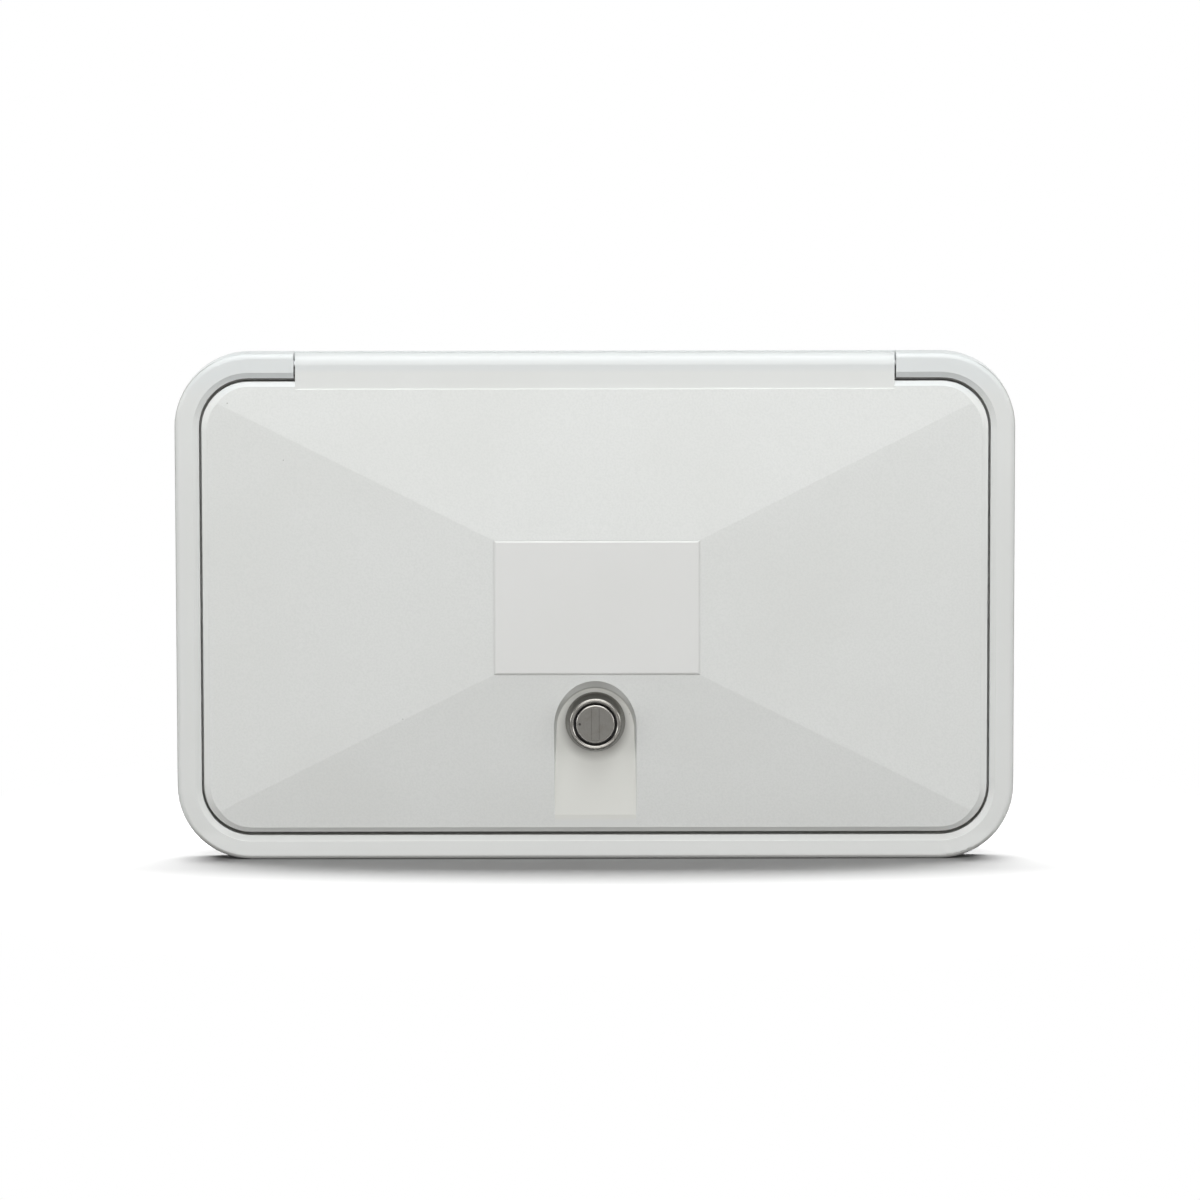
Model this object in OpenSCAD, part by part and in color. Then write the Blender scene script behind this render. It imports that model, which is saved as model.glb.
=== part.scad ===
// Access hatch for a caravan wall: a moulded flange frame with a top-hinged, lockable door.
// X runs to the right, Z runs up and Y runs into the vehicle. The origin is in the plane of
// the wall's outer face, at the centre of the cut-out. Each piece is drawn lying on the wall,
// with x to the right, y up and z out of the wall, and is then stood upright.

/* [Frame] */
// Width of the flange
frame_w = 430; // [400:1:520]
// Height of the flange
frame_h = 262; // [240:1:340]
// Depth of the flange in front of the wall
frame_d = 14; // [13:0.5:18]
// Radius of the flange's outer corners
frame_corner_r = 38; // [34:1:60]
// Width of the flange's rails
rail_w = 12.5; // [12:0.5:15]
// Radius of the rails' outer front edge
rail_edge_r = 2.5; // [1:0.5:3]
// Width of the bevel on the rails' inner front edge
rail_bevel_w = 3; // [1:0.5:4]
// Depth of the bevel on the rails' inner front edge
rail_bevel_d = 1.5; // [0.5:0.1:2]
// Wall thickness of the rails
rail_t = 2.5; // [2:0.1:3]
// Thickness of the ribs in the rails' channel
rail_rib_t = 2; // [1.5:0.1:3]
// Distance between the ribs in the rails' channel
rail_rib_pitch = 50; // [35:1:80]
// Depth by which the ribs stay below the sealing plane
sealant_room = 2; // [1:0.5:4]

/* [Land and collar] */
// Width of the land inside the rails
land_w = 16; // [15:0.5:18]
// Thickness of the land
land_t = 3; // [2.5:0.1:4]
// Width of the rain lip round the clear opening
lip_w = 2.5; // [2:0.1:3]
// Height of the rain lip above the land
lip_h = 2.5; // [1.5:0.1:3.5]
// Wall thickness of the collar in the cut-out
collar_t = 3; // [2:0.1:3.5]
// Length of the collar behind the wall's outer face
collar_l = 28; // [26:1:60]
// Diameter of the fixing screws' holes
screw_hole_d = 4.5; // [3.5:0.1:5]
// Diameter of the fixing screws' countersinks
screw_head_d = 8.5; // [7:0.1:9.5]
// Height between the fixing screws in each side rail
side_screw_pitch = 130; // [80:1:160]
// Distance between the fixing screws in the top and the bottom rail
end_screw_pitch = 240; // [150:1:300]

/* [Door] */
// Gap between the door and the side rails
side_gap = 1.3; // [1:0.1:2]
// Gap between the door and the top and bottom rails
end_gap = 1.8; // [1.5:0.1:2.5]
// Width of the bevel round the door's front edge
rim_bevel_w = 2.4; // [1:0.1:3]
// Depth of the bevel round the door's front edge
rim_bevel_d = 1.5; // [0.8:0.1:2]
// Rise of the door's four facets from the rim to the centre
facet_rise = 6; // [4:0.5:7]
// Distance outside the door's side edges at which the side facets reach the rim's level
side_facet_reach = 8.9; // [4:0.1:14]
// Thickness of the outer skin
skin_t = 3; // [2.5:0.1:3.2]
// Clearance between the skirt's rear edge and the land
skirt_clear = 1.5; // [1:0.1:2]
// Thickness of the ribs inside the outer skin
skin_rib_t = 2; // [1.5:0.1:2.5]
// Distance between the ribs inside the outer skin
skin_rib_pitch = 64; // [40:1:80]

/* [Centre plate] */
// Width of the centre plate
plate_w = 105.6; // [80:0.1:120]
// Height of the centre plate
plate_h = 69.6; // [60:0.1:72]
// Distance of the centre plate above the middle of the door
plate_lift = 0.8; // [0:0.1:3]
// Distance of the centre plate right of the middle of the door
plate_right = 0.9; // [0:0.1:3]
// Thickness of the centre plate
plate_t = 1.5; // [1.2:0.1:2]
// Height of the centre plate above the facets
plate_rise = 0.5; // [0.3:0.1:1]
// Width of the bevel round the plate's front edge
plate_bevel_w = 1; // [0.5:0.1:1.5]
// Depth of the bevel round the plate's front edge
plate_bevel_d = 0.4; // [0.2:0.1:0.8]
// Clearance round the centre plate in its pocket
plate_fit = 0.1; // [0.05:0.05:0.3]

/* [Inner panel and seal] */
// Thickness of the inner panel
liner_t = 2.5; // [2:0.1:3]
// Clearance between the inner panel and the outer skin's skirt
liner_fit = 0.2; // [0.1:0.1:0.5]
// Depth of the inner panel's raised field
field_depth = 4; // [3:0.1:4.5]
// Margin between the raised field and the clear opening
field_margin = 9; // [8:0.5:14]
// Slope width of the raised field's edge
field_draft = 2.5; // [1:0.1:4]
// Radius of the raised field's corners
field_r = 10; // [6:1:14]
// Width of the seal's base
seal_w = 9; // [7:0.5:10]
// Thickness of the seal's base
seal_base_t = 0.8; // [0.6:0.1:1]
// Height of the seal
seal_h = 2.2; // [2:0.1:2.6]
// Gap between the relaxed seal and the rain lip
seal_gap = 0.3; // [0.2:0.1:0.6]
// Diameter of the screws that hold the inner panel
liner_screw_d = 3.2; // [2.5:0.1:4]
// Diameter of the bosses for those screws
liner_boss_d = 8; // [7:0.5:10]
// Distance of the end bosses from the raised field's short edges
end_boss_inset = 18; // [14:1:30]
// Distance of the middle bosses from the door's centre line
mid_boss_x = 60; // [40:1:80]
// Distance of the bosses from the raised field's long edges
long_boss_inset = 13; // [10:1:20]

/* [Hinge] */
// Length of the hinge section of the door
hinge_w = 306.2; // [200:0.1:330]
// Gap between each end of the hinge section and the frame
hinge_end_gap = 0.8; // [0.5:0.1:1.5]
// Depth of the hinge section's face behind the rim's level
hinge_step = 0.4; // [0.3:0.1:1]
// Distance by which the hinge section's face runs onto the door
hinge_reach = 1.5; // [0.5:0.1:3]
// Thickness of the frame's web behind the hinge section
web_t = 1.5; // [1:0.1:2]
// Gap between the hinge section and the frame's web
web_gap = 0.5; // [0.4:0.1:1]
// Thickness of the neck between the hinge section and the door
neck_t = 3.8; // [3:0.1:4.5]
// Wall thickness of the hinge section behind its face, between the lugs
knuckle_wall = 2.6; // [2:0.1:3.2]
// Diameter of the hinge rod
rod_d = 4; // [3:0.1:5]
// Radial clearance of the rod in the hinge section
rod_fit = 0.25; // [0.1:0.05:0.4]
// Radial clearance of the rod in the frame's cheeks
cheek_fit = 0.05; // [0.02:0.01:0.1]
// Depth of the rod's seat in each cheek
rod_seat = 8; // [5:0.5:12]
// End play of the rod in each seat
rod_end_play = 0.3; // [0.1:0.1:1]
// Thickness of each cheek beyond the rod's seat
cheek_end_t = 3; // [2:0.5:6]
// Number of bearing lugs along the rod
lug_count = 7; // [4:1:9]
// Width of each bearing lug
lug_w = 8; // [6:0.5:14]

/* [Lock recess] */
// Height of the lock's axis above the frame's centre
lock_y = -59; // [-64:0.1:-57]
// Width of the recess at the door's surface
scoop_w = 42.4; // [38:0.1:46]
// Distance from the lock's axis to the top of the recess
scoop_top = 21.8; // [20.5:0.1:22.5]
// Level of the recess's floor above the frame's front face
scoop_floor = 0.5; // [0.3:0.1:1]
// Slope of the recess's top wall from the straight-in direction
scoop_top_slope = 45; // [36:1:50]
// Slope of the recess's side walls from the straight-in direction
scoop_side_slope = 21; // [15:1:25]

/* [Lock] */
// Diameter of the bezel's base
bezel_d = 30.8; // [29:0.1:31]
// Thickness of the bezel's base edge
bezel_edge_t = 1; // [0.6:0.1:1.5]
// Height of the bezel above the recess's floor
bezel_h = 10.4; // [9:0.1:12]
// Outer diameter of the bezel's lip
bezel_lip_d = 27; // [26:0.1:28]
// Radius of the rounding on the bezel's lip
bezel_lip_r = 1.25; // [1:0.05:1.4]
// Depth of the open ring between the bezel and the barrel
bezel_ring_depth = 4.4; // [3:0.1:5]
// Diameter of the bezel's threaded sleeve
sleeve_d = 22; // [20:0.1:22]
// Width across the flats of the sleeve
sleeve_flat_w = 20; // [18:0.1:20]
// Clearance round the sleeve in the door
sleeve_fit = 0.2; // [0.1:0.05:0.3]
// Thickness of the gasket under the bezel
gasket_t = 0.6; // [0.4:0.1:1]
// Distance between the gasket's edge and the bezel's edge
gasket_inset = 0.2; // [0.1:0.1:0.6]
// Clearance round the sleeve in the gasket
gasket_fit = 0.4; // [0.2:0.1:0.6]
// Thickness of the washer under the nut
washer_t = 1; // [0.8:0.1:1.5]
// Diameter of the washer under the nut
washer_d = 30; // [29:0.5:33]
// Width of the nut across its flats
nut_af = 27; // [26:0.5:30]
// Thickness of the nut
nut_t = 5; // [4:0.5:6]
// Clearance between the nut and the sleeve
nut_fit = 0.1; // [0.05:0.05:0.2]
// Length of the sleeve behind the nut
sleeve_tail = 1.5; // [1:0.1:2]
// Diameter of the barrel's head
barrel_d = 20.1; // [18:0.1:20.2]
// Depth of the barrel's face behind the top of the lip
barrel_sink = 0.7; // [0.4:0.1:1.2]
// Height of the barrel's head
barrel_head_h = 4.6; // [4:0.1:6]
// Radius of the rounding on the barrel's face
barrel_edge_r = 0.8; // [0.5:0.1:1.2]
// Diameter of the barrel behind its head
barrel_neck_d = 15; // [13:0.1:16]
// Radial clearance of the barrel in the bezel
barrel_fit = 0.2; // [0.1:0.05:0.3]
// Width of the shutter that closes the keyway
shutter_w = 4; // [3:0.1:5]
// Length of the shutter
shutter_l = 16.8; // [14:0.1:17]
// Thickness of the shutter
shutter_t = 1.2; // [0.8:0.1:1.6]
// Depth of the shutter's face behind the barrel's face
shutter_sink = 0.15; // [0.1:0.05:0.4]
// Diameter of the index dot in the barrel's face
dot_d = 1.2; // [0.8:0.1:1.6]
// Distance from the barrel's axis to the index dot
dot_offset = 8; // [7:0.1:8]
// Clearance round the shutter in the barrel
shutter_fit = 0.1; // [0.05:0.05:0.2]

/* [Cam and strike] */
// Length of the cam from the lock's axis
cam_l = 35.5; // [34:0.5:37]
// Width of the cam's arm
cam_w = 14; // [12:0.5:16]
// Diameter of the cam round the barrel
cam_head_d = 19; // [17:0.5:22]
// Thickness of the cam
cam_t = 2.5; // [2:0.1:3]
// Radius of the corners on the cam's tip
cam_tip_r = 3.5; // [2:0.5:4]
// Side of the barrel's square end
tang_w = 8; // [7:0.1:9]
// Clearance round the square end in the cam
tang_fit = 0.1; // [0.05:0.05:0.2]
// Gap between the barrel's shoulder and the sleeve's end
shoulder_gap = 0.5; // [0.3:0.1:1]
// Diameter of the cam's screw
cam_screw_d = 5; // [4:0.1:5.5]
// Width of the cam screw's head across its flats
cam_screw_af = 8; // [7:0.1:9]
// Height of the cam screw's head
cam_screw_head_h = 3.2; // [2.5:0.1:4]
// Length of the cam screw in the barrel
cam_screw_l = 10; // [8:0.5:12]
// Clearance round the cam's screw in the barrel
cam_screw_fit = 0.1; // [0.05:0.05:0.2]
// Diameter of the washer under the cam screw
cam_washer_d = 13; // [11:0.5:15]
// Thickness of the washer under the cam screw
cam_washer_t = 1; // [0.8:0.1:1.5]
// Clearance round the cam's screw in its washer
cam_washer_fit = 0.2; // [0.1:0.1:0.4]
// Width of the strike
strike_w = 24; // [18:1:30]
// Thickness of the strike
strike_t = 2; // [1.5:0.1:2.5]
// Height of the strike's tongue above the collar
strike_tongue_h = 14; // [12:0.5:15]
// Length of the strike's base along the collar
strike_base_l = 20; // [16:0.5:22]
// Clearance between the locked cam and the strike's tongue
cam_gap = 1; // [0.6:0.1:1.5]
// Diameter of the strike's screw holes
strike_hole_d = 3.6; // [3:0.1:4]
// Distance between the strike's screw holes
strike_hole_pitch = 12; // [10:0.5:16]

/* [Hidden] */
$fn = 72;
over = 1;
scoop_over = 4;

opening = [frame_w - 2 * rail_w, frame_h - 2 * rail_w];
opening_r = frame_corner_r - rail_w;
clear = opening - 2 * [land_w, land_w];
land_fixing_w = land_w - collar_t;
lip_z = land_t + lip_h;

door = opening - 2 * [side_gap, end_gap];
door_r = opening_r - side_gap;
skirt_z = land_t + skirt_clear;
rim_shoulder_z = frame_d - rim_bevel_d;
crown_z = frame_d + facet_rise;
plate_top_z = crown_z + plate_rise;
rim_y = door.y / 2 - rim_bevel_w;
side_base_x = door.x / 2 + side_facet_reach;
facet_run_y = rim_y - plate_h / 2 + plate_lift;
facet_slope = facet_rise / facet_run_y;
facet_tilt = atan(facet_slope);

liner_z = lip_z + seal_gap + seal_h;
field_z = liner_z - field_depth;
liner = door - 2 * (skin_t + liner_fit) * [1, 1];
liner_r = door_r - skin_t - liner_fit;
field = clear - 2 * field_margin * [1, 1];
seal_line = land_w - lip_w / 2;
boss_x = [field.x / 2 - end_boss_inset, mid_boss_x];
boss_y = field.y / 2 - long_boss_inset;

face_z = frame_d - hinge_step;
knuckle_r = (face_z - web_t - web_gap) / 2;
pin_y = frame_h / 2 - knuckle_r;
pin_z = face_z - knuckle_r;
pocket_h = 2 * (knuckle_r - knuckle_wall);
notch_w = hinge_w + 2 * hinge_end_gap;
cheek_l = rod_seat + cheek_end_t;
rod_l = notch_w + 2 * (rod_seat - rod_end_play);

floor_z = frame_d + scoop_floor;
bezel_z = floor_z + gasket_t;
lip_top_z = floor_z + bezel_h;
ring_floor_z = lip_top_z - bezel_ring_depth;
sleeve_end_z = field_z - washer_t - nut_t - sleeve_tail;
barrel_face_z = lip_top_z - barrel_sink;
barrel_head_z = barrel_face_z - barrel_head_h;
shoulder_z = sleeve_end_z - shoulder_gap;
cam_end_z = shoulder_z - cam_t;
tongue_z = shoulder_z + cam_gap;
collar_floor_y = -clear.y / 2;

// Stands a piece upright on the wall
module upright() {
    rotate([90, 0, 0])
        children();
}

// Turns a piece of the lock from the wall's centre to the lock's axis
module on_lock_axis() {
    translate([0, lock_y, 0])
        children();
}

// Sweeps a flat outline round a rounded rectangle: the outline's x is the distance outwards
// from the rectangle's edge, and its y is the height above the wall
module around(size, r) {
    run = size / 2 - [r, r];
    for (s = [-1, 1]) {
        rotate([0, 0, s > 0 ? 0 : 180])
            translate([size.x / 2, 0, 0])
                rotate([90, 0, 0])
                    linear_extrude(2 * run.y, center = true)
                        children();
        rotate([0, 0, s > 0 ? 90 : 270])
            translate([size.y / 2, 0, 0])
                rotate([90, 0, 0])
                    linear_extrude(2 * run.x, center = true)
                        children();
    }
    for (corner = [0 : 3]) {
        sx = corner == 0 || corner == 3 ? 1 : -1;
        sy = corner < 2 ? 1 : -1;
        translate([sx * run.x, sy * run.y, 0])
            rotate([0, 0, 90 * corner])
                rotate_extrude(angle = 90)
                    translate([r, 0])
                        children();
    }
}

// Rounded rectangle, centred
module rounded_rect(size, r) {
    run = size / 2 - [r, r];
    square([size.x, 2 * run.y], center = true);
    square([2 * run.x, size.y], center = true);
    for (sx = [-1, 1], sy = [-1, 1])
        translate([sx * run.x, sy * run.y])
            circle(r);
}

// Rounded block between two levels
module rounded_block(size, r, z0, z1) {
    translate([0, 0, z0])
        linear_extrude(z1 - z0)
            rounded_rect(size, r);
}

// What is cut off to slope a rounded block's edge inwards from a level, over a height
module edge_slope(size, r, z, slope_w, slope_h) {
    grow = (slope_h + over) / slope_h;
    around(size, r)
        polygon([
            [over, z - over * slope_h / slope_w],
            [over, z + slope_h * grow],
            [-slope_w * grow, z + slope_h * grow]
        ]);
}

// Section of the frame across one rail, its land and its collar, from the opening's edge
module rail_section() {
    difference() {
        union() {
            square([rail_w - rail_edge_r, frame_d]);
            translate([rail_w - rail_edge_r - over, 0])
                square([rail_edge_r + over, frame_d - rail_edge_r]);
            translate([rail_w - rail_edge_r, frame_d - rail_edge_r])
                circle(rail_edge_r);
        }
        translate([rail_t, -over])
            square([rail_w - 2 * rail_t, frame_d - rail_t + over]);
        polygon([
            [-over, frame_d - rail_bevel_d * (1 + over / rail_bevel_w)],
            [rail_bevel_w * (1 + over / rail_bevel_d), frame_d + over],
            [-over, frame_d + over]
        ]);
    }
    translate([-land_w, 0])
        square([land_w + rail_t / 2, land_t]);
    translate([-land_w, -collar_l])
        square([collar_t, collar_l + land_t]);
    translate([-land_w, land_t / 2])
        square([lip_w, land_t / 2 + lip_h]);
}

// Ribs across the rails' channel, short of the sealing plane
module rail_ribs() {
    rib_h = frame_d - rail_t / 2 - sealant_room;
    rib_l = rail_w - rail_t;
    side_run = opening.y / 2 - opening_r;
    end_run = opening.x / 2 - opening_r;
    side_n = floor(side_run / rail_rib_pitch);
    end_n = floor(end_run / rail_rib_pitch);
    for (i = [-side_n : side_n], s = [-1, 1])
        translate([s * (opening.x + rail_w) / 2, i * rail_rib_pitch, sealant_room + rib_h / 2])
            cube([rib_l, rail_rib_t, rib_h], center = true);
    for (i = [-end_n : end_n])
        translate([i * rail_rib_pitch, -(opening.y + rail_w) / 2, sealant_room + rib_h / 2])
            cube([rail_rib_t, rib_l, rib_h], center = true);
    for (sx = [-1, 1], sy = [-1, 1])
        translate([sx * end_run, sy * side_run, sealant_room])
            rotate([0, 0, atan2(sy, sx)])
                translate([opening_r + rail_t / 2, -rail_rib_t / 2, 0])
                    cube([rib_l, rail_rib_t, rib_h]);
}

// Blocks beside the hinge notch that close the rail's channel and seat the rod
module cheeks() {
    for (s = [-1, 1])
        translate([s * (notch_w + cheek_l) / 2, (opening.y + rail_w) / 2, (frame_d - rail_t / 2) / 2])
            cube([cheek_l, rail_w - rail_t, frame_d - rail_t / 2], center = true);
}

// Holes for the fixing screws, through the land
module fixing_holes() {
    side_x = (opening.x - land_fixing_w) / 2;
    end_y = (opening.y - land_fixing_w) / 2;
    places = [
        for (sx = [-1, 1], sy = [-1, 1]) each [
            [sx * side_x, sy * side_screw_pitch / 2],
            [sx * end_screw_pitch / 2, sy * end_y]
        ]
    ];
    sink = (screw_head_d - screw_hole_d) / 2;
    for (p = places)
        translate([p.x, p.y, 0]) {
            translate([0, 0, -over])
                cylinder(h = land_t + 2 * over, d = screw_hole_d);
            translate([0, 0, land_t - sink])
                cylinder(h = sink + over, r1 = screw_hole_d / 2, r2 = screw_head_d / 2 + over);
        }
}

// Holes for the strike's screws, through the collar's lower wall
module strike_holes() {
    for (s = [-1, 1])
        translate([s * strike_hole_pitch / 2, collar_floor_y + strike_t + over, tongue_z - strike_base_l / 2])
            rotate([90, 0, 0])
                cylinder(h = strike_t + collar_t + 2 * over, d = strike_hole_d);
}

module outer_frame() {
    color("gainsboro")
        upright()
            difference() {
                union() {
                    difference() {
                        union() {
                            around(opening, opening_r)
                                rail_section();
                            rail_ribs();
                            cheeks();
                        }
                        translate([-notch_w / 2, opening.y / 2, web_t])
                            cube([notch_w, rail_w + over, frame_d]);
                    }
                    translate([-notch_w / 2 - over, opening.y / 2 + rail_t / 2, 0])
                        cube([notch_w + 2 * over, rail_w - rail_t, web_t]);
                }
                for (s = [-1, 1])
                    translate([s * notch_w / 2, pin_y, pin_z])
                        rotate([0, s * 90, 0])
                            translate([0, 0, -over])
                                cylinder(h = rod_seat + over, d = rod_d + 2 * cheek_fit);
                fixing_holes();
                strike_holes();
            }
}

module hinge_rod() {
    color("silver")
        upright()
            translate([0, pin_y, pin_z])
                rotate([0, 90, 0])
                    cylinder(h = rod_l, d = rod_d, center = true);
}

// Steel angle on the collar's floor, behind whose tongue the cam turns
module strike() {
    color("silver")
        upright()
            difference() {
                translate([-strike_w / 2, collar_floor_y, 0]) {
                    translate([0, 0, tongue_z + strike_t - strike_base_l])
                        cube([strike_w, strike_t, strike_base_l]);
                    translate([0, 0, tongue_z])
                        cube([strike_w, strike_tongue_h, strike_t]);
                }
                strike_holes();
            }
}

// Height of a facet at a distance from the middle, between its foot and its upper edge
function facet_height(at, foot, edge) = frame_d + facet_rise * (foot - at) / (foot - edge);

// The four facets, as two crossed prisms that are lowered by a depth
module facets(lower = 0) {
    reach = door / 2 + [over, over];
    right = plate_w / 2 + plate_right;
    left = plate_w / 2 - plate_right;
    top = plate_h / 2 + plate_lift;
    bottom = plate_h / 2 - plate_lift;
    intersection() {
        translate([0, 0, -lower])
            rotate([90, 0, 0])
                linear_extrude(2 * reach.y, center = true)
                    polygon([
                        [-reach.x, -frame_d],
                        [reach.x, -frame_d],
                        [reach.x, facet_height(reach.x, side_base_x, right)],
                        [right, crown_z],
                        [-left, crown_z],
                        [-reach.x, facet_height(reach.x, side_base_x, left)]
                    ]);
        translate([0, 0, -lower])
            rotate([90, 0, 90])
                linear_extrude(2 * reach.x, center = true)
                    polygon([
                        [-reach.y, -frame_d],
                        [reach.y, -frame_d],
                        [reach.y, facet_height(reach.y, rim_y, top)],
                        [top, crown_z],
                        [-bottom, crown_z],
                        [-reach.y, facet_height(reach.y, rim_y, bottom)]
                    ]);
    }
}

// The lock recess: half a tilted cone that runs on downwards as a wedge, above a flat floor.
// The side planes touch the cone along two of its lines. grow widens the recess and lowers
// it, to leave the skin's thickness behind it.
module scoop(grow = 0) {
    axis_tilt = atan((sin(scoop_top_slope) - sin(scoop_side_slope)) / cos(scoop_top_slope));
    cone_slope = scoop_top_slope - axis_tilt;
    half_w = scoop_w / 2 + grow;
    apex_depth = half_w / tan(scoop_side_slope);
    top_reach = apex_depth * tan(scoop_top_slope);
    touch_tilt = atan2(sin(axis_tilt), cos(axis_tilt) * pow(cos(scoop_side_slope), 2));
    cone_h = apex_depth / cos(scoop_top_slope) + 3 * scoop_over;
    far = 4 * half_w + apex_depth;
    top_y = lock_y + scoop_top + grow;
    facet_z = frame_d + facet_slope * (rim_y + top_y) - grow;
    intersection() {
        translate([0, top_y, facet_z])
            rotate([facet_tilt, 0, 0])
                translate([0, -top_reach, -apex_depth]) {
                    intersection() {
                        rotate([-axis_tilt, 0, 0])
                            cylinder(h = cone_h, r1 = 0, r2 = cone_h * tan(cone_slope));
                        rotate([-touch_tilt, 0, 0])
                            translate([-far, 0, 0])
                                cube([2 * far, far, far]);
                    }
                    intersection() {
                        rotate([90, 0, 0])
                            linear_extrude(2 * far, center = true)
                                polygon([
                                    [0, 0],
                                    [cone_h * tan(scoop_side_slope), cone_h],
                                    [-cone_h * tan(scoop_side_slope), cone_h]
                                ]);
                        rotate([-touch_tilt, 0, 0])
                            translate([-far, -far, 0])
                                cube([2 * far, far, far]);
                    }
                }
        translate([-half_w - scoop_over, -door.y, floor_z - grow])
            cube([2 * (half_w + scoop_over), 2 * door.y, crown_z]);
    }
}

// Round bar with two flats
module flatted_bar(d, flat_w, z0, z1) {
    intersection() {
        translate([0, 0, z0])
            cylinder(h = z1 - z0, d = d);
        translate([-flat_w / 2, -d, z0 - over])
            cube([flat_w, 2 * d, z1 - z0 + 2 * over]);
    }
}

// Top strip of the door that carries the rod: a round knuckle with a flat face and a neck
module hinge_section() {
    first_lug = (hinge_w - lug_w) / 2;
    lug_pitch = 2 * first_lug / (lug_count - 1);
    pocket_w = lug_pitch - lug_w;
    rotate([90, 0, 90])
        difference() {
            linear_extrude(hinge_w, center = true)
                union() {
                    translate([pin_y, pin_z])
                        circle(knuckle_r);
                    translate([rim_y, face_z - neck_t])
                        square([pin_y - rim_y, neck_t]);
                }
            translate([pin_y, pin_z, 0])
                cylinder(h = hinge_w + 2 * over, r = rod_d / 2 + rod_fit, center = true);
            for (i = [0 : lug_count - 2])
                translate([pin_y - pocket_h / 2, 0, -first_lug + lug_w / 2 + i * lug_pitch])
                    cube([pocket_h, pin_z + pocket_h / 2, pocket_w]);
        }
}

// Grid of ribs and screw bosses that fills the space behind the facets
module skin_ribs() {
    nx = floor(field.x / 2 / skin_rib_pitch);
    ny = floor(field.y / 2 / skin_rib_pitch);
    rib_z = liner_z + liner_t + liner_fit;
    for (i = [0 : nx - 1], s = [-1, 1])
        translate([s * (i + 0.5) * skin_rib_pitch - skin_rib_t / 2, -door.y / 2, rib_z])
            cube([skin_rib_t, door.y, crown_z]);
    for (i = [0 : max(0, ny - 1)], s = [-1, 1])
        translate([-door.x / 2, s * (i + 0.5) * skin_rib_pitch - skin_rib_t / 2, rib_z])
            cube([door.x, skin_rib_t, crown_z]);
    for (x = boss_x, sx = [-1, 1], sy = [-1, 1])
        translate([sx * x, sy * boss_y, field_z + liner_t])
            cylinder(h = crown_z, d = liner_boss_d);
    translate([0, lock_y, field_z + liner_t])
        cylinder(h = crown_z, d = bezel_d);
}

module liner_screw_holes(z0, z1) {
    for (x = boss_x, sx = [-1, 1], sy = [-1, 1])
        translate([sx * x, sy * boss_y, z0])
            cylinder(h = z1 - z0, d = liner_screw_d);
}

module sleeve_hole() {
    on_lock_axis()
        flatted_bar(sleeve_d + 2 * sleeve_fit, sleeve_flat_w + 2 * sleeve_fit, -frame_d, 2 * frame_d);
}

module door_skin() {
    rim_slope = rim_bevel_w / rim_bevel_d;
    inner = door - 2 * [skin_t, skin_t];
    color("whitesmoke")
        upright() {
            difference() {
                intersection() {
                    rounded_block(door, door_r, skirt_z, crown_z + over);
                    facets();
                }
                edge_slope(door, door_r, rim_shoulder_z,
                    rim_slope * (crown_z - rim_shoulder_z), crown_z - rim_shoulder_z);
                difference() {
                    intersection() {
                        rounded_block(inner, door_r - skin_t, skirt_z - over, crown_z);
                        facets(skin_t);
                    }
                    scoop(skin_t);
                    skin_ribs();
                }
                scoop();
                translate([-hinge_w / 2, rim_y - hinge_reach, face_z])
                    cube([hinge_w, hinge_reach + rim_bevel_w + over, crown_z]);
                translate([plate_right - plate_w / 2, plate_lift - plate_h / 2, plate_top_z - plate_t])
                    cube([plate_w, plate_h, plate_t]);
                sleeve_hole();
                liner_screw_holes(0, frame_d - skin_t);
            }
            hinge_section();
        }
}

// Section across the centre plate, with its bevelled front edges
module plate_section(width) {
    half_w = width / 2;
    polygon([
        [-half_w, plate_top_z - plate_t],
        [half_w, plate_top_z - plate_t],
        [half_w, plate_top_z - plate_bevel_d],
        [half_w - plate_bevel_w, plate_top_z],
        [-half_w + plate_bevel_w, plate_top_z],
        [-half_w, plate_top_z - plate_bevel_d]
    ]);
}

module centre_plate() {
    w = plate_w - 2 * plate_fit;
    h = plate_h - 2 * plate_fit;
    color("white")
        upright()
            translate([plate_right, plate_lift, 0])
                intersection() {
                    rotate([90, 0, 0])
                        linear_extrude(h, center = true)
                            plate_section(w);
                    rotate([90, 0, 90])
                        linear_extrude(w, center = true)
                            plate_section(h);
                }
}

// Raised field of the inner panel, with sloped edges, inset by the panel's thickness or not
module liner_field(inset) {
    size = field - 2 * [inset, inset];
    translate([0, 0, inset])
        mirror([0, 0, 1])
            difference() {
                rounded_block(size, field_r - inset, -liner_z - over, -field_z);
                edge_slope(size, field_r - inset, -liner_z, field_draft, field_depth);
            }
}

// Inner panel: a flat border for the seal round a raised field
module door_liner() {
    color("gainsboro")
        upright()
            difference() {
                union() {
                    rounded_block(liner, liner_r, liner_z, liner_z + liner_t);
                    liner_field(0);
                }
                liner_field(liner_t);
                sleeve_hole();
                liner_screw_holes(0, frame_d);
            }
}

// Rubber strip on the inner panel's border, with a half-round bead over the rain lip
module door_seal() {
    bead_r = seal_h - seal_base_t / 2;
    color("dimgray")
        upright()
            around(opening, opening_r)
                translate([-seal_line, liner_z])
                    intersection() {
                        union() {
                            translate([-seal_w / 2, -seal_base_t])
                                square([seal_w, seal_base_t]);
                            translate([0, -seal_base_t / 2])
                                circle(bead_r);
                        }
                        translate([-seal_w, -seal_h - over])
                            square([2 * seal_w, seal_h + over]);
                    }
}

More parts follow.
